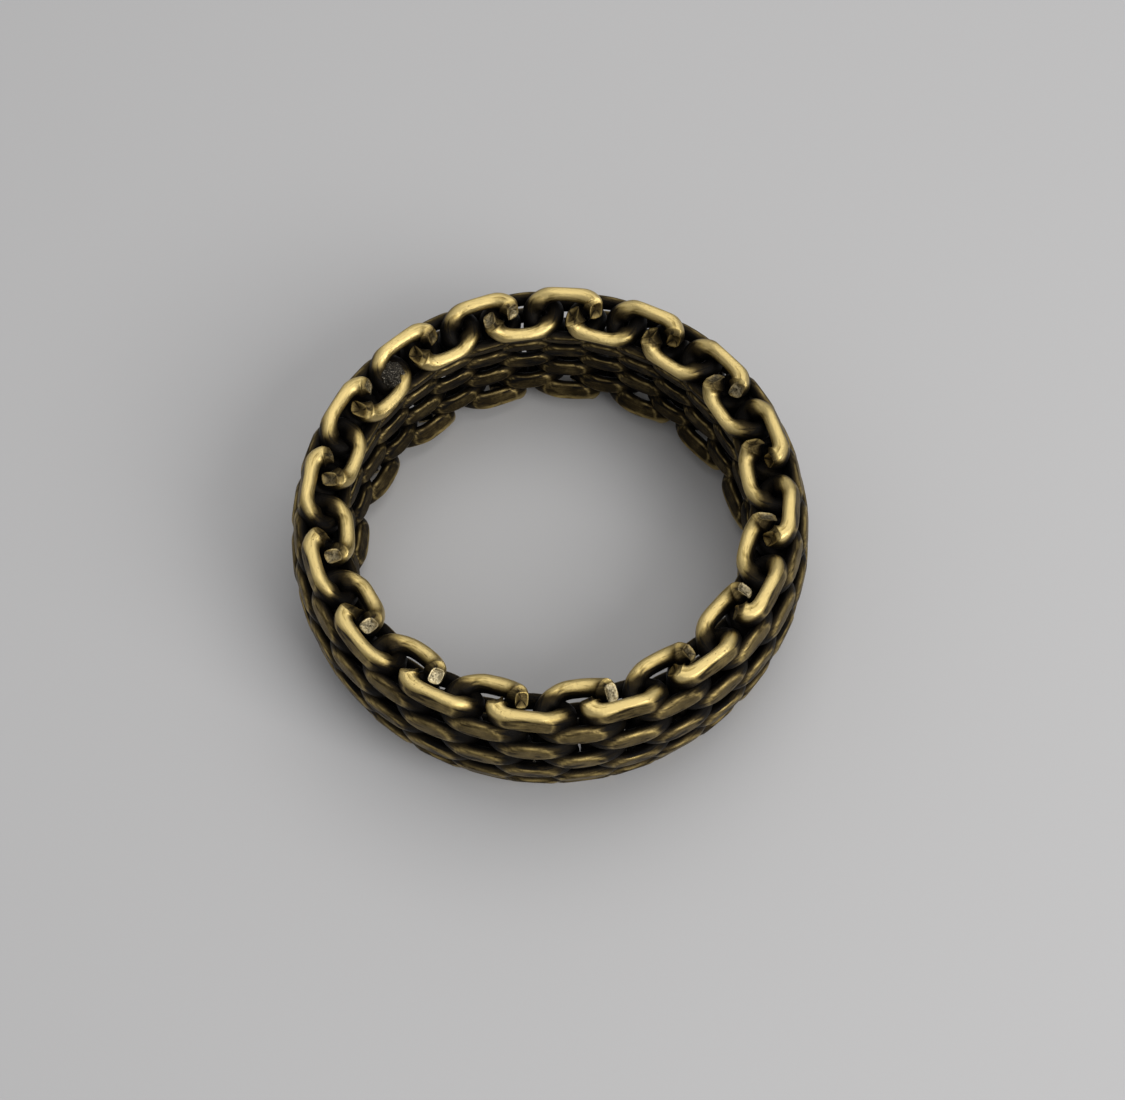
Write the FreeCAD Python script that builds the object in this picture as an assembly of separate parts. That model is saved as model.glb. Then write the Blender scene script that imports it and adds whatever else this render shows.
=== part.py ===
"""A woven brass band ring: a ring-shaped strip of interlocked flat spirals of round wire.

Every spiral is one piece of wire wound into a flattened coil of four turns. The coils stand upright
round the finger hole and are screwed into each other side by side, so each end of a coil hooks through
its two neighbours and the band bends at every one of those interlocks, as a chain of hinges does. Half
of the coils start with a strand on the outside of the band and the other half with one on the inside,
which is the same coil turned upside down. Seen from the side the band is domed. One interlock, the
seam, is filled with solder, which closes the strip into a ring.

The ring lies on its edge: the finger hole's axis is +Z and the origin is the centre of its base.
Lengths are in millimetres and angles in degrees unless a name says otherwise.
"""
import FreeCAD, Part
import math
import os
from FreeCAD import Vector

# Driving dimensions
WIRE_DIAMETER = 0.72       # of the round wire that every coil is wound from
HOLE_DIAMETER = 19.0       # at its narrowest, which is at the two edges of the band
COIL_COUNT = 32            # even, because the two kinds of coil alternate
ROWS = 8                   # strands from one edge of the band to the other, even
DOME_RADIUS = 7.3          # of the band's middle surface, seen in a cut along the axis
ROW_CLEARANCE = 0.08       # free gap between the strands of neighbouring rows on the inside of the band
LAYER_CLEARANCE = 0.12     # from the middle surface's wire to the strands outside and inside it
HOOK_SLACK = 0.60          # how far a coil can shift round the ring before it pulls on its neighbour
STRAND_BULGE = 0.24        # how far the middle of a strand stands proud of its ends
STRAND_RISE = 0.05         # how far a strand climbs from one of its ends to the other
TURN_RADIUS = 0.78         # of the wire's centre line where it turns between outside and inside
TURN_ROOM = 0.05           # the least that a strand's ends stand further out than a turn's radius
CUT_BACK = 0.10            # from the middle surface to the cut end of the wire
SEAM_ANGLE = 130.9         # where the soldered interlock is, anticlockwise from +X seen from above
SOLDER_WIDTH = 1.34        # of the solder, round the ring
SOLDER_DEPTH = 1.46        # of the solder, through the band's thickness
SOLDER_HEIGHT = 1.12       # of the solder, along the band
SOLDER_DROP = 0.34         # of the solder's centre below the top row's middle

# What follows from them
WIRE_RADIUS = WIRE_DIAMETER / 2
COIL_ANGLE = 360.0 / COIL_COUNT
LAYER_OFFSET = max(WIRE_DIAMETER + LAYER_CLEARANCE, TURN_RADIUS + TURN_ROOM)
LAYER_REACH = LAYER_OFFSET + STRAND_BULGE
ROW_PITCH = (WIRE_DIAMETER + ROW_CLEARANCE) * DOME_RADIUS / (DOME_RADIUS - LAYER_REACH)
EDGE_ARC = ROW_PITCH * (ROWS - 1) / 2
EDGE_LEAN = EDGE_ARC / DOME_RADIUS
MIDDLE_RADIUS = (HOLE_DIAMETER / 2 + WIRE_RADIUS + LAYER_REACH * math.cos(EDGE_LEAN)
                 + DOME_RADIUS * (1 - math.cos(EDGE_LEAN)))
COIL_PITCH = 2 * MIDDLE_RADIUS * math.sin(math.radians(COIL_ANGLE) / 2)
COIL_HALF_WIDTH = (COIL_PITCH + WIRE_DIAMETER + HOOK_SLACK) / 2


def coil_angle(number):
    """Where coil 1, 2, 3... stands: they count clockwise from the seam, seen from above."""
    return SEAM_ANGLE - COIL_ANGLE * (number - 0.5)


def band_point(angle, across, out, up):
    """A point of the band beside the coil at that angle.

    across is measured clockwise round the ring, out from the middle surface, and up along the domed
    surface from the middle of the band. A coil is narrower where it is nearer to the ring's axis.
    """
    lean = up / DOME_RADIUS
    radius = MIDDLE_RADIUS - DOME_RADIUS * (1 - math.cos(lean)) + out * math.cos(lean)
    height = (DOME_RADIUS + out) * math.sin(lean)
    sideways = across * radius / MIDDLE_RADIUS
    turn = math.radians(angle)
    return Vector(radius * math.cos(turn) + sideways * math.sin(turn),
                  radius * math.sin(turn) - sideways * math.cos(turn), height)


def coil_corners(angle, top_side):
    """The corners of a coil's wire from its lower cut end to its upper one.

    top_side is +1 where the top row's strand is on the outside of the band, and -1 where it is on the
    inside. Going up the wire, outside strands run clockwise and inside strands run back.
    """
    rise = STRAND_RISE / 2
    corners = []
    for row in range(ROWS - 1, -1, -1):
        side = top_side if row % 2 == 0 else -top_side
        up = EDGE_ARC - ROW_PITCH * row
        start, end = -side * COIL_HALF_WIDTH, side * COIL_HALF_WIDTH
        if row == ROWS - 1:
            corners.append(band_point(angle, start, side * CUT_BACK, up - ROW_PITCH / 2))
        corners.append(band_point(angle, start, side * LAYER_OFFSET, up - rise))
        corners.append(band_point(angle, 0, side * LAYER_REACH, up))
        corners.append(band_point(angle, end, side * LAYER_OFFSET, up + rise))
        if row == 0:
            corners.append(band_point(angle, end, side * CUT_BACK, up + ROW_PITCH / 2))
    return corners


def bend_radius(index, corners):
    """The radius of the wire's bend at a corner: the middle corner of each strand is a long gentle bow."""
    if index % 3 != 2:
        return TURN_RADIUS
    before = corners[index] - corners[index - 1]
    after = corners[index + 1] - corners[index]
    shortest = min(before.Length, after.Length)
    return 0.95 * (shortest - TURN_RADIUS * 1.05) / math.tan(before.getAngle(after) / 2)


def runs_and_bends(corners):
    """The straight runs and bends of a wire that follows the corners, in order.

    A run is (start, end), and a bend is (start, centre, axis, angle in degrees).
    """
    pieces = []
    here = corners[0]
    for index in range(1, len(corners) - 1):
        corner = corners[index]
        into = (corner - corners[index - 1]).normalize()
        out_of = (corners[index + 1] - corner).normalize()
        turn = into.getAngle(out_of)
        radius = bend_radius(index, corners)
        trim = radius * math.tan(turn / 2)
        start, end = corner - into * trim, corner + out_of * trim
        inward = (out_of - into).normalize()
        centre = corner + inward * (radius / math.cos(turn / 2))
        pieces.append(("run", here, start))
        pieces.append(("bend", start, centre, into.cross(out_of).normalize(), math.degrees(turn)))
        here = end
    pieces.append(("run", here, corners[-1]))
    return pieces


def wire_solid(corners):
    """A round wire along the corners: cylinders and pieces of torus between two flat cut ends."""
    pieces = runs_and_bends(corners)
    direction = (pieces[0][2] - pieces[0][1]).normalize()
    ring = Part.Wire(Part.makeCircle(WIRE_RADIUS, pieces[0][1], direction))
    faces = [Part.Face(ring)]
    for piece in pieces:
        if piece[0] == "run":
            step = piece[2] - piece[1]
            faces += ring.extrude(step).Faces
            ring = ring.translated(step)
        else:
            _, _, centre, axis, angle = piece
            faces += ring.revolve(centre, axis, angle).Faces
            ring = ring.rotated(centre, axis, angle)
    faces.append(Part.Face(ring))
    shell = Part.Shell(faces)
    shell.sewShape()
    solid = Part.Solid(Part.Shell(shell.Faces))
    if solid.Volume < 0:
        solid.reverse()
    return solid


def coil(number, lift=0.0):
    """One spiral, in its place round the ring, raised by lift."""
    top_side = 1 if number % 2 else -1
    return wire_solid(coil_corners(coil_angle(number), top_side)).translated(Vector(0, 0, lift))


def seam_solder(first, last, lift):
    """The bead of solder in the seam's top interlock, moulded round the two coils it joins."""
    bead = Part.makeSphere(0.5)
    size = FreeCAD.Matrix()
    size.scale(SOLDER_DEPTH, SOLDER_WIDTH, SOLDER_HEIGHT)
    bead = bead.transformGeometry(size)
    bead.rotate(Vector(0, 0, 0), Vector(0, 0, 1), SEAM_ANGLE)
    bead.translate(band_point(SEAM_ANGLE, 0, 0, EDGE_ARC - SOLDER_DROP) + Vector(0, 0, lift))
    return bead.cut([first, last])


def main():
    os.makedirs("parts", exist_ok=True)
    # The two kinds of coil, to find how far the band has to rise to stand on z = 0
    lift = -min(coil(1).BoundBox.ZMin, coil(2).BoundBox.ZMin)
    coils = {number: coil(number, lift) for number in range(1, COIL_COUNT + 1)}
    for number, solid in coils.items():
        solid.exportStep(f"parts/coil_{number:02d}.step")
    seam_solder(coils[1], coils[COIL_COUNT], lift).exportStep("parts/seam_solder.step")
    top = max(solid.BoundBox.ZMax for solid in coils.values())
    print(f"row pitch {ROW_PITCH:.3f}, middle radius {MIDDLE_RADIUS:.3f}, coil width {2 * COIL_HALF_WIDTH:.3f}")
    print(f"height {top:.3f}, coil volume {coils[1].Volume:.3f}")


if __name__ == "__main__":
    main()
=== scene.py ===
# %% [markdown]
# # A woven brass band ring
#
# This finger ring is a strip of wire mesh. Each of its coils is one piece of brass wire, wound into
# a flat spiral that stands upright in the band, and screwed into its two neighbours. The first cell
# loads the measured model, whose pieces already have their places, and keeps its outer box for
# later. Lengths in this lesson are in millimetres, and become metres where a mesh is made.

# %% The measured model
import math
import bmesh
import bpy
import numpy as np
from mathutils import Matrix, Vector


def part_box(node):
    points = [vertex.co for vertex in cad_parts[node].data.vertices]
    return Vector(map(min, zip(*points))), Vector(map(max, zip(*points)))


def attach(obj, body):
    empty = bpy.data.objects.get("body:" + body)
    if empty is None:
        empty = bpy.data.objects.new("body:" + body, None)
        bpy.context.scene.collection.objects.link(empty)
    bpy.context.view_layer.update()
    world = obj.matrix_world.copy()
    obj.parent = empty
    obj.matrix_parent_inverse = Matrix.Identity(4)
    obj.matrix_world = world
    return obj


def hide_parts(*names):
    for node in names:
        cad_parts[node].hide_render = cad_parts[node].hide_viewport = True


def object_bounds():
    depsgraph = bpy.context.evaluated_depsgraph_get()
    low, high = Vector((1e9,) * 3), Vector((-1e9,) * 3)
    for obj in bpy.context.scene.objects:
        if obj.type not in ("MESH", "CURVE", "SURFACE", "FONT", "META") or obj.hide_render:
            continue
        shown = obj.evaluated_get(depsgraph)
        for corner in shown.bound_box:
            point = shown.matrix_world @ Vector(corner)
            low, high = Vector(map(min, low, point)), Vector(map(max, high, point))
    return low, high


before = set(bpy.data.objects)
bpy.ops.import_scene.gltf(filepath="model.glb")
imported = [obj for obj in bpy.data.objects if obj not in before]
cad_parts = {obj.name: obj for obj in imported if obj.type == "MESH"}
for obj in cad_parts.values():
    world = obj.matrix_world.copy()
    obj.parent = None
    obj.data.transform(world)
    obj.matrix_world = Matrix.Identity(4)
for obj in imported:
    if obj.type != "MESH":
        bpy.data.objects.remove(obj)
cad_low, cad_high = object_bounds()
MM = 0.001
height = (cad_high.z - cad_low.z) / MM
outer_radius = (cad_high.x - cad_low.x) / 2 / MM


def in_scene(name, data):
    """A new object in the scene that shows this mesh, camera or light."""
    made = bpy.data.objects.new(name, data)
    bpy.context.scene.collection.objects.link(made)
    return made


print(f"outer radius {outer_radius:.2f} mm, height {height:.2f} mm, {len(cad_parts)} nodes")

# %% [markdown]
# ## The camera
#
# The ring lies on its edge and is seen from well above, so the far inside wall and the near outside
# wall both show. The camera is less than four ring widths away, so the near side looks a little
# larger than the far one. It is turned a few degrees about its own axis, so its three directions
# are written as the columns of its matrix.

# %% Camera
LENS = 64.0
SENSOR = 36.0
DISTANCE = 95.71508
AIM_BESIDE = 0.55481
AIM_IN_FRONT = 3.05527
AIM_BELOW_TOP = 0.36
VIEW_TURN = math.radians(-2.6)
VIEW_LEAN = math.radians(62.77)
VIEW_ROLL = math.radians(-3.53)

turned_view = Matrix.Rotation(VIEW_TURN, 3, "Z")
aim = turned_view @ Vector((AIM_BESIDE, -AIM_IN_FRONT, 0.0))
aim.z = height - AIM_BELOW_TOP
backward = turned_view @ Vector((0, -math.cos(VIEW_LEAN), math.sin(VIEW_LEAN)))
sideways = turned_view @ Vector((1, 0, 0))
upward = backward.cross(sideways)
right = math.cos(VIEW_ROLL) * sideways + math.sin(VIEW_ROLL) * upward
up = -math.sin(VIEW_ROLL) * sideways + math.cos(VIEW_ROLL) * upward

camera = in_scene("camera", bpy.data.cameras.new("camera"))
camera.data.lens = LENS
camera.data.sensor_width = SENSOR
camera.data.clip_start = 0.005
place = (aim + backward * DISTANCE) * MM
axes = Matrix((right, up, backward)).transposed().to_4x4()
camera.matrix_world = Matrix.Translation(place) @ axes
bpy.context.scene.camera = camera
print(f"camera {place.length / MM:.0f} mm from the ring's base, lens {camera.data.lens:.0f} mm")

# %% [markdown]
# ## Places on the band
#
# The band is domed: cut along the finger hole's axis, its middle surface is an arc. A place beside a
# coil is given by how far it is round the ring, outwards from that surface, and up along the arc.
# The next cell holds the band's sizes and turns such places into points.

# %% Band
COILS = 32
ROWS = 8
MIDDLE_RADIUS = 11.55965
DOME_RADIUS = 7.3
ROW_PITCH = 0.93891
HALF_WIDTH = 1.82
LAYER_REACH = 1.08
WIRE_RADIUS = 0.36
SEAM_ANGLE = 130.9
EDGE_ARC = ROW_PITCH * (ROWS - 1) / 2


def coil_angle(number):
    """The angle of a coil's middle, in radians: coils count clockwise from the seam."""
    return math.radians(SEAM_ANGLE - 360 / COILS * (number - 0.5))


def directions(angle, up):
    """Unit vectors outwards and up along the dome, for places at these heights.

    The outward one leans by the arc's angle, up over the dome's radius; the other is square to it.
    """
    lean = up / DOME_RADIUS
    radial = np.array([math.cos(angle), math.sin(angle), 0.0])
    axis = np.array([0.0, 0.0, 1.0])
    out = np.cos(lean)[..., None] * radial + np.sin(lean)[..., None] * axis
    rise = -np.sin(lean)[..., None] * radial + np.cos(lean)[..., None] * axis
    return out, rise


def band_points(angle, across, out, up):
    """Points of the band: radius and height of the arc at that lean, plus the offset outwards.

    Across is scaled by the radius, so a coil is narrower where it is nearer to the ring's axis.
    """
    lean = up / DOME_RADIUS
    radius = MIDDLE_RADIUS - DOME_RADIUS * (1 - np.cos(lean)) + out * np.cos(lean)
    side = across * radius / MIDDLE_RADIUS
    return np.stack([radius * math.cos(angle) + side * math.sin(angle),
                     radius * math.sin(angle) - side * math.cos(angle),
                     height / 2 + (DOME_RADIUS + out) * np.sin(lean)], axis=-1)


print(f"top row's middle at {band_points(0.0, 0.0, LAYER_REACH, EDGE_ARC)}")

# %% [markdown]
# ## Three small curves
#
# Everything that follows is built from a few curves: a power that squares off a sine, an S that eases
# from nought to one, a slow wander made of sines, and a soft stop.

# %% Curves
def powered(value, power):
    """The sign of a value times its size raised to a power."""
    return np.sign(value) * np.abs(value) ** power


def eased(value, start, end):
    """Zero before start, one after end, and a smooth S between: three squares minus two cubes."""
    t = np.clip((value - start) / (end - start), 0, 1)
    return t * t * (3 - 2 * t)


def slow_noise(rng, along, waves=5, longest=9.0):
    """A smooth wander about zero, of size about one: sines with random phases, falling sizes."""
    wave = np.arange(1, waves + 1)
    phase = rng.uniform(0, 2 * np.pi, waves)
    size = rng.normal(0, 1, waves) / wave ** 0.5
    return (size * np.sin(2 * np.pi * np.outer(along, wave) / longest + phase)).sum(axis=1) * 0.6


def pressed(value, free, limit):
    """Values up to free stay; beyond it they close in on limit, by a hyperbolic tangent."""
    room = limit - free
    excess = np.maximum(value - free, 0)
    return np.minimum(value, free) + room * np.tanh(excess / room)


def unit(vectors):
    """Vectors divided by their lengths."""
    return vectors / np.linalg.norm(vectors, axis=-1, keepdims=True)


print("pressed against 1.0:", np.round(pressed(np.array([0.5, 0.9, 1.1, 1.3]), 0.8, 1.0), 3))

# %% [markdown]
# ## The line of a coil's wire
#
# Seen along its axis a coil is a flattened loop. A superellipse gives its long strands and round
# turns with one formula: sine and cosine, each raised to a power below one. The wire climbs one row
# for each half turn, nearly all of it in the turns, so the strands lie almost level. Near the band's
# edges the loop is squarer, and the wire dives as soon as a strand ends, so the turns hide below.
# Hand-wound coils aren't quite alike, so each gets small slow wobbles of its own.

# %% Wire line
LOOP_POWER = 2.08
EDGE_POWER = 0.75
EDGE_LOOPS = (0.80, 0.94)
CLIMB_IN_TURNS = 0.90
EARLY_DIVE = 0.9
CUT_BACK = (0.01, 0.14)
WOBBLE = (0.05, 0.016, 0.020)
FINE_STEPS = 8000


def wire_line(number, samples, rng):
    """The places (across, out, up) of a wire's middle at equal steps of length, from the bottom up.

    Across is minus the powered cosine of the loop angle and out is its powered sine. Coils with
    their top strand outside end at loop angle pi, and the others at zero; both run back eight half
    turns, and a little is cut off at each end. The climb is the turned angle less its doubled sine,
    shifted by the early dive. Equal steps are found on the running length of a much finer line.
    """
    outside = number % 2 == 1
    last = math.pi if outside else 0.0
    cut = rng.uniform(*CUT_BACK, 2)
    loop = np.linspace(last - ROWS * math.pi + cut[0], last - cut[1], FINE_STEPS)
    turned = loop - (math.pi / 2 if outside else -math.pi / 2)
    from_middle = np.linspace(-1, 1, len(loop))
    power = 2 / (LOOP_POWER + EDGE_POWER * eased(np.abs(from_middle), *EDGE_LOOPS))
    across = -HALF_WIDTH * powered(np.cos(loop), power)
    out = LAYER_REACH * powered(np.sin(loop), power)

    early = EARLY_DIVE * from_middle
    waves = np.sin(2 * turned - early) + np.sin(early)
    climb = turned / math.pi - CLIMB_IN_TURNS / (2 * math.pi) * waves
    line = np.stack([across, out, EDGE_ARC + ROW_PITCH * climb], axis=1)
    pieces = np.linalg.norm(np.diff(line, axis=0), axis=1)
    length = np.concatenate([[0], np.cumsum(pieces)])
    steps = np.linspace(0, length[-1], samples)
    line = np.stack([np.interp(steps, length, column) for column in line.T], axis=1)
    wobble = np.stack([size * slow_noise(rng, steps) for size in WOBBLE], axis=1)
    return line + wobble, steps


trial, trial_steps = wire_line(1, 400, np.random.default_rng(1))
print(f"one wire is {trial_steps[-1]:.1f} mm long and climbs {np.ptp(trial[:, 2]):.2f} mm")

# %% [markdown]
# ## How thick the wire is
#
# The wire starts round, and the weave changes it. Strands that stand proud were rolled, so they
# spread up and down. Deep in the wall the turns, with the dark dirt and polish that fill the weave
# round them, are thicker, mostly towards the coil's own middle, so that every second coil's turns
# keep clear of each other when the ring is squeezed. The first and last rows have no neighbour
# beyond them and are deeper on the side of the next row. At the nipped ends the wire is squarer.

# %% Thickness
AROUND = 24
CUT_REACH = 0.55
END_SQUARENESS = 1.6
END_NARROWING = 0.12
THICKER = 1.02
UNEVEN = 0.015
PROUD = (0.60, 1.05)
DEEP = (0.20, 0.75)
TURN_SWELL = 0.44
SIDE_SWELL = 0.16
EDGE_ROW = (0.15, 0.55)
INNER_ROW = (0.2, 0.8)
EDGE_SWELL = 0.35
EDGE_DEPTH = 0.45
EDGE_BREADTH = 0.22
OUTSIDE_SPREAD = (0.16, 0.16)
INSIDE_SPREAD = (0.12, 0.10)


def nipped_ends(steps):
    """How much each point belongs to a cut end, from 0 to 1, and which end: 1 top, -1 bottom."""
    at_top = 1 - eased(steps[-1] - steps, 0, CUT_REACH)
    at_bottom = 1 - eased(steps, 0, CUT_REACH)
    at_end = np.maximum(at_top, at_bottom)[:, None]
    return at_end, np.where(at_top > at_bottom, 1.0, -1.0)[:, None]


def cross_section(line, steps, at_end, theta, rng):
    """How far surface points lie beside and above the wire's line, as two grids: side and lift.

    Side is a radius times a powered cosine and lift a radius times a powered sine; the power goes
    from a circle's to a rounded square's at the cut ends. The radius grows by the swell of the
    deep turns, less on the side away from the coil's middle. Lift is then spread on proud strands,
    and lift and side grow towards the next row and the coil's middle in the edge rows.
    """
    out = line[:, 1:2]
    from_edge = EDGE_ARC - np.abs(line[:, 2:3])
    proud = eased(np.abs(out), *PROUD)
    deep = 1 - eased(np.abs(out), *DEEP)
    edge_row = 1 - eased(from_edge, *EDGE_ROW)
    inner_row = eased(from_edge, *INNER_ROW)
    power = 2 / (2 + END_SQUARENESS * at_end)
    free = 1 - at_end

    bare = WIRE_RADIUS * (THICKER + UNEVEN * slow_noise(rng, steps))[:, None]
    bare = bare * free + WIRE_RADIUS * at_end
    swell = TURN_SWELL * (1 - proud) * (1 + EDGE_SWELL * edge_row)
    radius = bare + WIRE_RADIUS * swell * free
    outer = bare + WIRE_RADIUS * SIDE_SWELL * deep * free
    side = np.where(np.cos(theta) > 0, outer, radius) * powered(np.cos(theta), power)
    side = side * (1 - END_NARROWING * at_end)
    spread = np.where(out > 0, OUTSIDE_SPREAD[0] + OUTSIDE_SPREAD[1] * inner_row,
                      INSIDE_SPREAD[0] + INSIDE_SPREAD[1] * inner_row)
    lift = radius * powered(np.sin(theta), power) * (1 + proud * spread)

    next_row_side = lift * np.sign(line[:, 2:3]) < 0
    lift = lift * np.where(next_row_side, 1 + EDGE_DEPTH * edge_row * free, 1)
    side = side * np.where(side < 0, 1 + EDGE_BREADTH * edge_row * free, 1)
    return side, lift


at_end, _ = nipped_ends(trial_steps)
print(f"{(at_end > 0).sum()} of {len(at_end)} steps belong to a nipped end")

# %% [markdown]
# ## The surface of a coil's wire
#
# The cross-section is carried along the line. Where the band was rolled and rubbed, the wire is then
# flattened against the band's inner and outer surface, which leaves a leaf-shaped flat on each bowed
# strand. At both ends the cut slopes and one corner is drawn out into a beak. All are functions of
# two grid coordinates: how far along the wire, and how far round it.

# %% Wire surface
ALONG = 330
BEAK_WIDTH = 0.5
BEAK = (0.05, 0.20)
CUT_SLOPE = (0.35, 0.95)
SLOPE_SIDEWAYS = 0.5
OUTER_FLAT = LAYER_REACH + 0.205
OUTER_GIVE = 0.06
INNER_FLAT = LAYER_REACH + 0.17
INNER_GIVE = 0.05
EDGE_FLAT = 0.10
EDGE_CLEAR = 0.004


def wire_surface(number, rng):
    """Rings of points along a coil's wire, with how far out and up each is, and the cuts' facing.

    Each point is the line plus its side and lift. At the cut ends it moves along the wire: points
    on the upper outward side are drawn back and the opposite corner is drawn out, by a bell curve
    round it. Last, the distance from the band's middle surface and the height are pressed to the
    band's limits.
    """
    line, steps = wire_line(number, ALONG, rng)
    angle = coil_angle(number)
    middle = band_points(angle, *line.T)
    outward, rise = directions(angle, line[:, 2])
    forward = unit(np.gradient(middle, axis=0))
    above = unit(rise - (rise * forward).sum(-1, keepdims=True) * forward)
    away = np.cross(above, forward)

    theta = np.linspace(-math.pi, math.pi, AROUND, endpoint=False)
    at_end, direction = nipped_ends(steps)
    side, lift = cross_section(line, steps, at_end, theta, rng)
    beak = np.exp(-((np.abs(theta) - math.pi) / BEAK_WIDTH) ** 2) * at_end
    slopes = rng.uniform(*CUT_SLOPE, 2)
    slope = np.where(direction > 0, slopes[0], slopes[1])
    shift = -slope * at_end * (side * SLOPE_SIDEWAYS + lift * direction)
    shift = shift + rng.uniform(*BEAK) * beak
    facing = forward * direction
    offset = (away[:, None] * side[..., None] + above[:, None] * lift[..., None]
              + facing[:, None] * shift[..., None])

    points = middle[:, None] + offset
    out = line[:, 1:2] + (offset * outward[:, None]).sum(-1)
    flat = pressed(out, OUTER_FLAT, OUTER_FLAT + OUTER_GIVE)
    flat = -pressed(-flat, INNER_FLAT, INNER_FLAT + INNER_GIVE)
    points += outward[:, None] * (flat - out)[..., None]
    free, limit = height - EDGE_FLAT, height - EDGE_CLEAR
    below_top = pressed(points[..., 2], free, limit)
    points[..., 2] = height - pressed(height - below_top, free, limit)
    upward = line[:, 2:3] + (offset * rise[:, None]).sum(-1)
    return points, out, upward, steps, facing


points, out, upward, _, _ = wire_surface(1, np.random.default_rng(1))
corners = points.reshape(-1, 3)
print("grid", points.shape, "low", corners.min(0).round(2), "high", corners.max(0).round(2))

# %% [markdown]
# ## How rubbed the wire is, with a painted highlight
#
# The brass was dipped to darken it and then polished, so whatever stands proud is bright and
# whatever lies deep is nearly black. That depends on the place in the band and not on the light, so
# it is worked out here as a number from 0, deep, to 1, rubbed bare, and kept on the points for the
# material to read. The same number also carries a painted highlight, a bright line along the start
# of each strand's flat, standing in for light caught by the rounded edge there. The two edges of the
# band are rubbed most, then its outside, and the inside strands are set darker than the outside ones.

# %% Rubbed places and painted highlight
FACE = LAYER_REACH + 0.335
FACE_RUB = (0.02, 0.44)
# This lower level makes the inside strands darker than the outside ones.
OUTSIDE_RUB, INSIDE_LEVEL = 0.60, 0.37
FLAT_LOSS = 0.22
OUTSIDE_PAINTED_GLINT, INSIDE_PAINTED_GLINT = 0.22, 0.38
EDGE = EDGE_ARC + WIRE_RADIUS
TOP_RUB = (0.04, 0.54)
TOP_HIDDEN = 0.30
BOTTOM_RUB = (0.02, 0.45)
BOTTOM_LESS = 0.8


def rubbed_and_glint_amount(out, upward):
    """The largest of four eased depths: below the outside, the inside, the upper and lower edge.

    A bell curve adds a painted highlight, a bright line where the flat of each strand begins,
    standing in for light caught by the rounded edge there. The upper edge is worn less inside the
    wall, where the turns are.
    """
    outside = out > 0
    past_flat = np.abs(out) - np.where(outside, OUTER_FLAT, INNER_FLAT)
    side = 1 - eased(FACE - np.abs(out), *FACE_RUB)
    side = side * np.where(outside, OUTSIDE_RUB, INSIDE_LEVEL)
    side = side * (1 - FLAT_LOSS * eased(past_flat, 0.01, 0.05))
    # Painted highlight: a bright line at the start of each strand's flat, standing in for light caught
    # by the rounded edge.
    painted_glint = np.exp(-((past_flat + 0.01) / 0.03) ** 2) * np.where(outside, OUTSIDE_PAINTED_GLINT, INSIDE_PAINTED_GLINT)
    top = 1 - eased(EDGE - upward, *TOP_RUB)
    top = top * (TOP_HIDDEN + (1 - TOP_HIDDEN) * eased(np.abs(out), 0.35, 0.85))
    bottom = 1 - eased(EDGE + upward, *BOTTOM_RUB)
    return np.maximum(np.maximum(side + painted_glint, top), BOTTOM_LESS * bottom)


print("rubbed:", rubbed_and_glint_amount(out, upward).mean().round(3))

# %% [markdown]
# ## The cut faces
#
# Cutters leave a face that is hollow in the middle and duller than the rubbed wire. Each face is a
# few smaller rings inside the wire's last ring, set back step by step, with a rough grain.

# %% Cut faces
HOLLOW = np.array([(0.92, 0.010), (0.76, -0.035), (0.52, -0.085), (0.25, -0.10)])
TIP_DEPTH = -0.10
ROUGH_CUT = 0.008
DULL = np.array([1.15, 0.90, 0.60, 0.50])[:, None]
LEAST_RUBBED = 0.6
NIPPED = (-0.6, 1.0)


def cut_rings(ring, facing, rng):
    """Smaller copies of the end ring: each point goes towards the centre, and back a little."""
    centre = ring.mean(axis=0)
    rough = rng.normal(0, ROUGH_CUT, (len(HOLLOW), len(ring), 1))
    size, depth = HOLLOW.T[:, :, None, None]
    rings = centre + (ring - centre) * size + facing * (depth + rough)
    return rings, centre + facing * TIP_DEPTH


print(f"each cut face has {len(HOLLOW)} rings")

# %% [markdown]
# ## One mesh for each coil
#
# The grid of points becomes a closed tube. Each square joins a ring to the next, the last column
# joins the first, and a fan of triangles closes each cut face. The wire's own map, along it and
# round it, is kept as UV, and the rubbed amount with its painted highlight and the nipped amount
# as numbers on the points.

# %% Mesh
def tube_faces(count):
    """Squares between neighbouring rings, and a fan of triangles onto the tip at each end."""
    here = np.arange(AROUND)
    there = (here + 1) % AROUND
    row = np.arange(count - 1)[:, None] * AROUND
    squares = np.stack([row + here, row + there, row + there + AROUND, row + here + AROUND], axis=-1)
    last_row, low_tip, high_tip = (count - 1) * AROUND, count * AROUND, count * AROUND + 1
    fan_low = np.stack([np.full(AROUND, low_tip), there, here], axis=-1)
    fan_high = np.stack([np.full(AROUND, high_tip), last_row + here, last_row + there], axis=-1)
    return squares.reshape(-1, 4), np.concatenate([fan_low, fan_high])


def add_wire_map(mesh, along, squares):
    """The wire's own map: millimetres along it, and turns round it from 0 to 1.

    The squares that close the tube reach from near 1 to 0, so their low corners get a turn more.
    """
    u = np.concatenate([np.repeat(along, AROUND), along[[0, -1]]])
    v = np.concatenate([np.tile(np.arange(AROUND) / AROUND, len(along)), [0.5, 0.5]])
    corner = np.zeros(len(mesh.loops), dtype=np.int32)
    mesh.loops.foreach_get("vertex_index", corner)
    turn = v[corner]
    block = turn[:squares * 4].reshape(-1, 4)
    closing = (block < 0.25) & (block.max(1, keepdims=True) > 0.75)
    turn[:squares * 4] = np.where(closing, block + 1, block).ravel()
    uv = np.stack([u[corner], turn], axis=1).astype(np.float32)
    mesh.uv_layers.new(name="wire").data.foreach_set("uv", uv.ravel())


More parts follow.
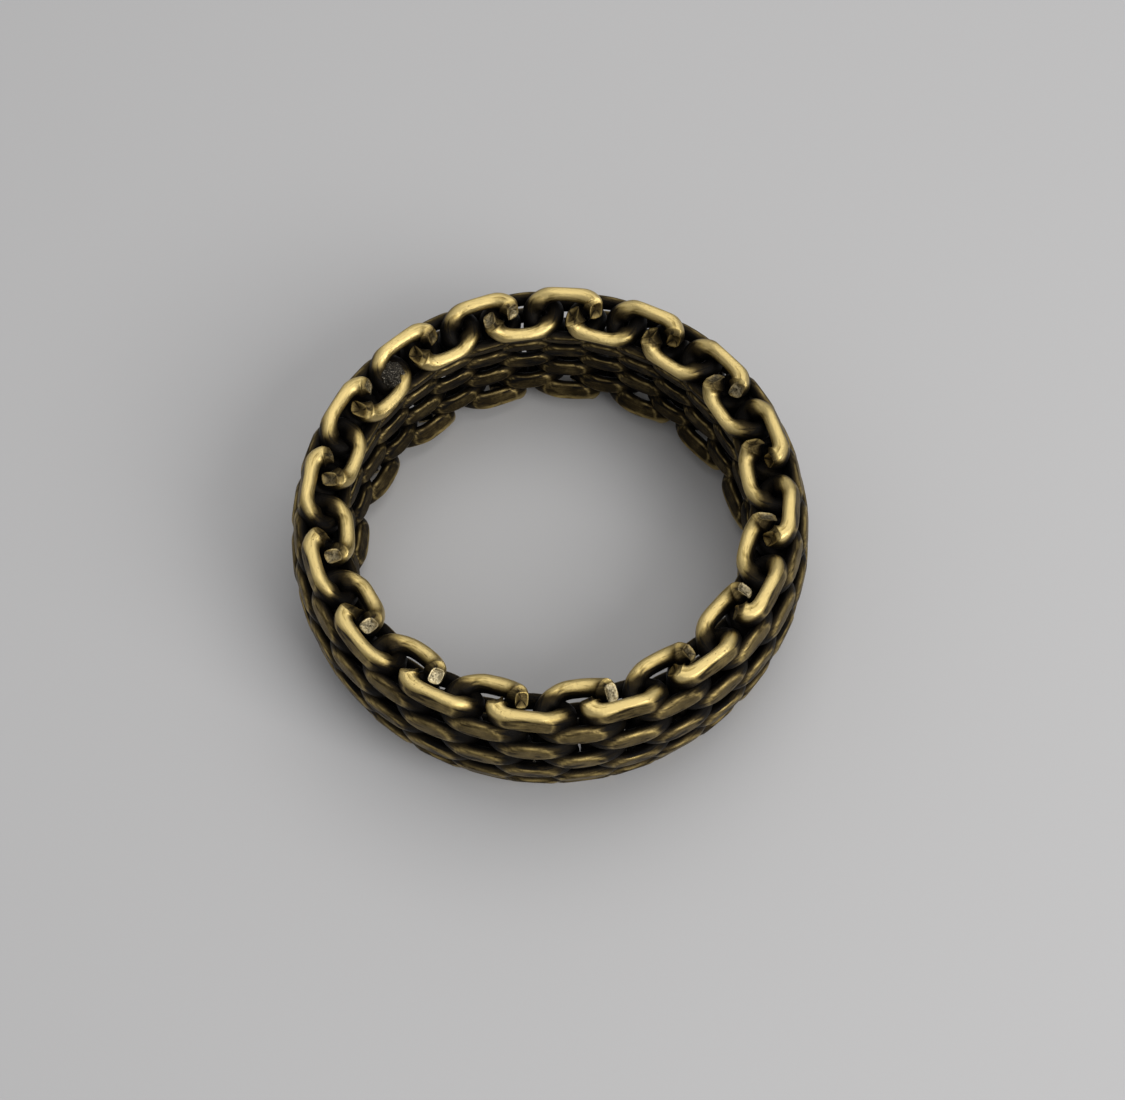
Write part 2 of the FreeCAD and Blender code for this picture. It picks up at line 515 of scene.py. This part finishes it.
def add_value(mesh, name, values):
    """Keeps a number on every point; each tip takes the mean of the ring next to it."""
    tips = [values[0].mean(), values[-1].mean()]
    kept = np.concatenate([values.ravel(), tips]).astype(np.float32)
    mesh.attributes.new(name, "FLOAT", "POINT").data.foreach_set("value", kept)


def wire_mesh(number, rng):
    """The mesh of one coil: bottom cut, tube and top cut, as one grid of rings and two tips."""
    points, out, upward, steps, facing = wire_surface(number, rng)
    low, low_tip = cut_rings(points[0], facing[0], rng)
    high, high_tip = cut_rings(points[-1], facing[-1], rng)
    rings = np.concatenate([low[::-1], points, high])
    squares, fans = tube_faces(len(rings))
    co = np.concatenate([rings.reshape(-1, 3), [low_tip, high_tip]]) * MM
    mesh = bpy.data.meshes.new(f"wire_{number:02d}")
    mesh.from_pydata(co.tolist(), [], squares.tolist() + fans.tolist())
    mesh.shade_smooth()

    caps = len(HOLLOW)
    along = np.concatenate([np.zeros(caps), steps, np.full(caps, steps[-1])])
    add_wire_map(mesh, along, len(squares))
    # The rubbed amount carries real wear and a painted highlight along each strand's flat.
    rubbed = rubbed_and_glint_amount(out, upward)
    cut_low, cut_high = rubbed[:1].clip(LEAST_RUBBED), rubbed[-1:].clip(LEAST_RUBBED)
    add_value(mesh, "rubbed", np.concatenate([cut_low * DULL[::-1], rubbed, cut_high * DULL]))
    nipped = np.zeros((len(rings), AROUND))
    nipped[:caps], nipped[-caps:] = rng.uniform(*NIPPED, 2).clip(0, 1)
    add_value(mesh, "nipped", nipped)
    return mesh


print("faces between three rings:", tube_faces(3)[0].shape)

# %% [markdown]
# ## All the coils
#
# Every coil moves with its own body, apart from the two that the solder holds together. Each is made
# with random numbers of its own, seeded with its number, so it comes out the same every time.

# %% Coils
FIRST_SEED = 500


def coil_body(number):
    """The body a coil moves with: the two coils at the seam are one body."""
    return "seam" if number in (1, COILS) else f"coil_{number:02d}"


wires = []
for number in range(1, COILS + 1):
    mesh = wire_mesh(number, np.random.default_rng(FIRST_SEED + number))
    wire = in_scene(mesh.name, mesh)
    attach(wire, coil_body(number))
    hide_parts(f"coil_{number:02d}")
    wires.append(wire)
print(f"{len(wires)} wires of {len(wires[0].data.polygons)} faces")

# %% [markdown]
# ## Shader maths as Python
#
# A material is a graph of nodes. Writing it as expressions keeps it readable, so one small class
# wraps a node's output socket: adding, subtracting or multiplying such values adds a Math node. One
# function adds any other node, with its settings first and then its inputs.

# %% Shader helpers
class Signal:
    """A socket's value in a shader expression."""

    def __init__(self, tree, socket):
        self.tree = tree
        self.socket = socket

    def maths(self, operation, *values):
        settings = {"operation": operation}
        return add_node(self.tree, "ShaderNodeMath", settings, dict(enumerate(values)))

    def __add__(self, other):
        return self.maths("ADD", self, other)

    def __sub__(self, other):
        return self.maths("SUBTRACT", self, other)

    def __rsub__(self, other):
        return self.maths("SUBTRACT", other, self)

    def __mul__(self, other):
        return self.maths("MULTIPLY", self, other)

    def between(self, low, high):
        """Zero at low, one at high, straight between, and held outside."""
        inputs = {"Value": self, "From Min": low, "From Max": high}
        return add_node(self.tree, "ShaderNodeMapRange", {"clamp": True}, inputs)

    __radd__ = __add__
    __rmul__ = __mul__


def set_stops(ramp, stops):
    """Gives a colour ramp these stops, each a position and a colour."""
    while len(ramp.elements) < len(stops):
        ramp.elements.new(0.5)
    for element, (position, colour) in zip(ramp.elements, stops):
        element.position = position
        element.color = (*colour, 1)


def add_node(tree, kind, settings=None, inputs=None, output=0):
    """Adds a node, sets its settings, then its inputs to values or links; returns one output."""
    node = tree.nodes.new(kind)
    for name, value in (settings or {}).items():
        if name == "stops":
            set_stops(node.color_ramp, value)
        else:
            setattr(node, name, value)
    for name, value in (inputs or {}).items():
        if isinstance(value, Signal):
            tree.links.new(value.socket, node.inputs[name])
        else:
            node.inputs[name].default_value = value
    return Signal(tree, node.outputs[output]) if node.outputs else None


print("expressions ready")

# %% Material helpers
def new_material(name):
    """A material with only its output node, and the tree to build in."""
    material = bpy.data.materials.new(name)
    material.use_nodes = True
    material.node_tree.nodes.clear()
    return material, material.node_tree


def finish_material(tree, inputs):
    """The surface shader and the material's output."""
    surface = add_node(tree, "ShaderNodeBsdfPrincipled", None, inputs)
    add_node(tree, "ShaderNodeOutputMaterial", None, {"Surface": surface})


def millimetres(tree):
    """The place on the piece, in millimetres."""
    place = add_node(tree, "ShaderNodeTexCoord", output="Object")
    scale = {"Vector": place, "Scale": (1 / MM, 1 / MM, 1 / MM)}
    return add_node(tree, "ShaderNodeMapping", None, scale)


def pattern(tree, kind, where, output=0, **inputs):
    """A noise or cell texture read at a place. Its sockets are named with _ for spaces."""
    inputs = {name.replace("_", " "): value for name, value in inputs.items()}
    return add_node(tree, kind, None, {"Vector": where, **inputs}, output)


print("materials can be made")

# %% [markdown]
# ## Antiqued brass
#
# Up close the brass is not one colour. Rubbed places are warm gold, and with depth it turns olive,
# brown and nearly black, in soft patches. Drawing the wire and rubbing it left scratches and streaks
# along it, and corrosion left small pits. Some of the nipped faces are fresh metal, paler than the
# rest. The rubbed amount, with its painted highlight, is read from the points, patches and pits from
# object coordinates in millimetres, and the scratches from the wire's own map, drawn out along it.

# %% Brass patterns
brass, tree = new_material("antiqued_brass")
place = millimetres(tree)
wire_map = add_node(tree, "ShaderNodeUVMap", {"uv_map": "wire"})
drawn = add_node(tree, "ShaderNodeMapping", None, {"Vector": wire_map, "Scale": (0.9, 34, 1)})
combed = add_node(tree, "ShaderNodeMapping", None, {"Vector": wire_map, "Scale": (0.7, 9, 1)})
# This attribute holds the rubbed amount with its painted highlight.
rubbed = add_node(tree, "ShaderNodeAttribute", {"attribute_name": "rubbed"}, output="Fac")
nipped = add_node(tree, "ShaderNodeAttribute", {"attribute_name": "nipped"}, output="Fac")

NOISE = "ShaderNodeTexNoise"
CELLS = "ShaderNodeTexVoronoi"
patches = pattern(tree, NOISE, place, Scale=0.9, Detail=4.0, Roughness=0.6)
grain = pattern(tree, NOISE, place, Scale=9.0, Detail=5.0, Roughness=0.65)
scratches = pattern(tree, NOISE, drawn, Scale=1.0, Detail=4.0, Roughness=0.7)
streaks = pattern(tree, NOISE, combed, Scale=1.0, Detail=2.0, Roughness=0.5)
pits = pattern(tree, CELLS, place, output="Distance", Scale=4.5)
pit_depth = 1 - pits.between(0.06, 0.16)
pit_depth = pit_depth * patches.between(0.48, 0.62)
print(f"patterns take {len(tree.nodes)} nodes")

# %% [markdown]
# The patterns push the rubbed amount, with its painted highlight, up and down, and that one number
# gives the colour, how metallic the surface is and how rough: rubbed brass is bright and smooth, and
# the deep patina is dull.

# %% Brass finish
FRESH_METAL = (0.78, 0.68, 0.45, 1)
PATINA = [(0.0, (0.003, 0.002, 0.0012)),
          (0.30, (0.034, 0.024, 0.010)),
          (0.55, (0.165, 0.122, 0.050)),
          (0.80, (0.37, 0.275, 0.100)),
          (1.0, (0.60, 0.465, 0.195))]

# bright follows the rubbed amount, so it carries the painted highlight too.
bright = rubbed * 1.10 + (patches - 0.5) * 0.60 + (scratches - 0.5) * 0.42 + (grain - 0.5) * 0.20
bright = bright - pit_depth * 0.35 - streaks.between(0.54, 0.68) * 0.38
bright = bright.between(0.0, 1.0)
tone = add_node(tree, "ShaderNodeValToRGB", {"stops": PATINA}, {"Fac": bright})
fresh = nipped * grain.between(0.35, 0.60)
mixed = {0: fresh, 6: tone, 7: FRESH_METAL}
tone = add_node(tree, "ShaderNodeMix", {"data_type": "RGBA"}, mixed, output=2)
relief = scratches * 0.5 + grain * 0.7 - pit_depth * 1.2
bumps = {"Height": relief, "Strength": 0.75, "Distance": 0.00004}
finish_material(tree, {
    "Base Color": tone,
    "Metallic": bright.between(-2.0, 0.4),
    "Roughness": 0.60 - bright * 0.22 + (grain - 0.5) * 0.25,
    "Normal": add_node(tree, "ShaderNodeBump", None, bumps),
})
for wire in wires:
    wire.data.materials.append(brass)
print(f"brass has {len(tree.nodes)} nodes")

# %% [markdown]
# ## The solder at the seam
#
# One interlock is filled with solder, which closes the strip into a ring. It was never cleaned, so
# it is a dark, grainy lump with its top a little below the hooks. A sphere is squared off to fill
# the room between the wires, stretched, and given long and short lumps.

# %% Solder bead
SQUARENESS = 2.8
BEAD_HALF_SIZE = (0.74, 0.68, 0.56)
BEAD_MIDDLE_BELOW_TOP = 0.52
LUMP_COUNTS = (10, 30)
LUMP_PACES = (4.0, 13.0)
LUMP_SIZES = (0.030, 0.012)


def solder_points():
    """A grid of points on the bead, from its top pole to its bottom pole.

    A sphere's points are divided by their power mean, which squares them off, and multiplied by a
    little under one plus many sines of the distance along random directions.
    """
    rng = np.random.default_rng(7)
    polar, turn = np.meshgrid(np.linspace(0, math.pi, 60),
                              np.linspace(0, 2 * math.pi, 90, endpoint=False), indexing="ij")
    ball = np.stack([np.sin(polar) * np.cos(turn), np.sin(polar) * np.sin(turn), np.cos(polar)],
                    axis=-1)
    pace = np.repeat(LUMP_PACES, LUMP_COUNTS)
    size = np.repeat(LUMP_SIZES, LUMP_COUNTS)
    wave = unit(rng.normal(size=(len(pace), 3))) * pace[:, None]
    phase = rng.uniform(0, 2 * math.pi, len(pace))
    lumps = 0.96 + (np.sin(ball @ wave.T + phase) * size).sum(-1)
    power_mean = (np.abs(ball) ** SQUARENESS).sum(-1, keepdims=True) ** (1 / SQUARENESS)
    ball = ball / power_mean * lumps[..., None]

    low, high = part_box("seam_solder")
    middle = np.array((low + high) / 2)
    middle[2] = high.z - BEAD_MIDDLE_BELOW_TOP * MM
    angle = math.radians(SEAM_ANGLE)
    axes = np.array([(math.cos(angle), math.sin(angle), 0),
                     (math.sin(angle), -math.cos(angle), 0), (0, 0, 1)])
    return middle + (ball * BEAD_HALF_SIZE) @ axes * MM


def bead_mesh(points):
    """A closed mesh from a grid whose first and last rows are poles and whose columns join."""
    rows, columns = points.shape[:2]
    row = np.arange(rows - 1)[:, None] * columns
    here = np.arange(columns)
    there = (here + 1) % columns
    squares = np.stack([row + here, row + here + columns, row + there + columns, row + there],
                       axis=-1)
    mesh = bpy.data.meshes.new("solder_bead")
    mesh.from_pydata(points.reshape(-1, 3).tolist(), [], squares.reshape(-1, 4).tolist())
    work = bmesh.new()
    work.from_mesh(mesh)
    bmesh.ops.remove_doubles(work, verts=work.verts, dist=1e-7)
    bmesh.ops.recalc_face_normals(work, faces=work.faces)
    work.to_mesh(mesh)
    work.free()
    mesh.shade_smooth()
    return mesh


mesh = bead_mesh(solder_points())
solder = in_scene("solder_bead", mesh)
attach(solder, "seam")
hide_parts("seam_solder")
print(f"solder has {len(mesh.polygons)} faces")

# %% Solder finish
SOOT = [(0.0, (0.006, 0.005, 0.004)),
        (0.50, (0.022, 0.019, 0.014)),
        (0.68, (0.07, 0.06, 0.045)),
        (0.95, (0.48, 0.44, 0.36))]

material, tree = new_material("burnt_solder")
place = millimetres(tree)
grains = pattern(tree, CELLS, place, output="Distance", Scale=11.0)
dust = pattern(tree, NOISE, place, Scale=16.0, Detail=4.0)
fleck = {"Fac": dust.between(0.25, 0.75)}
bumps = {"Height": grains + dust, "Strength": 0.9, "Distance": 0.00008}
finish_material(tree, {
    "Base Color": add_node(tree, "ShaderNodeValToRGB", {"stops": SOOT}, fleck),
    "Metallic": 0.6,
    "Roughness": 0.75 - dust.between(0.5, 0.7) * 0.35,
    "Normal": add_node(tree, "ShaderNodeBump", None, bumps),
})
solder.data.materials.append(material)
print(f"solder's material has {len(tree.nodes)} nodes")

# %% [markdown]
# ## Floor and light
#
# A plain pale floor, two soft lamps and an even light from all round. The larger lamp is above and
# behind the ring, so the upper edge catches long soft highlights, and the other, in front and to the
# right, lights the near outside. The Standard view transform keeps the gold as strong as it was mixed.

# %% Floor
bpy.ops.mesh.primitive_plane_add(size=1.2, location=(0, 0, cad_low.z))
floor = bpy.context.object
floor.name = "floor"
material, tree = new_material("pale_floor")
finish_material(tree, {"Base Color": (0.44, 0.44, 0.45, 1), "Roughness": 0.8})
floor.data.materials.append(material)
print("floor laid")


# %% Lamps
def lamp(name, place, size, power, colour):
    """A square area lamp at a place in metres, turned to face the ring."""
    light = bpy.data.lights.new(name, "AREA")
    light.size = size
    light.energy = power
    light.color = colour
    lamp_object = in_scene(name, light)
    lamp_object.location = place
    lamp_object.rotation_euler = (-Vector(place)).to_track_quat("-Z", "Y").to_euler()


lamp("window", (0.04, 0.07, 0.22), 0.20, 0.215, (1.0, 0.98, 0.94))
lamp("front_fill", (0.14, -0.14, 0.15), 0.14, 0.40, (1.0, 0.99, 0.97))
world = bpy.data.worlds.new("studio")
bpy.context.scene.world = world
world.use_nodes = True
background = world.node_tree.nodes["Background"]
background.inputs["Color"].default_value = (0.95, 0.95, 0.95, 1)
background.inputs["Strength"].default_value = 0.50
bpy.context.scene.view_settings.view_transform = "Standard"
print("lamps lit")
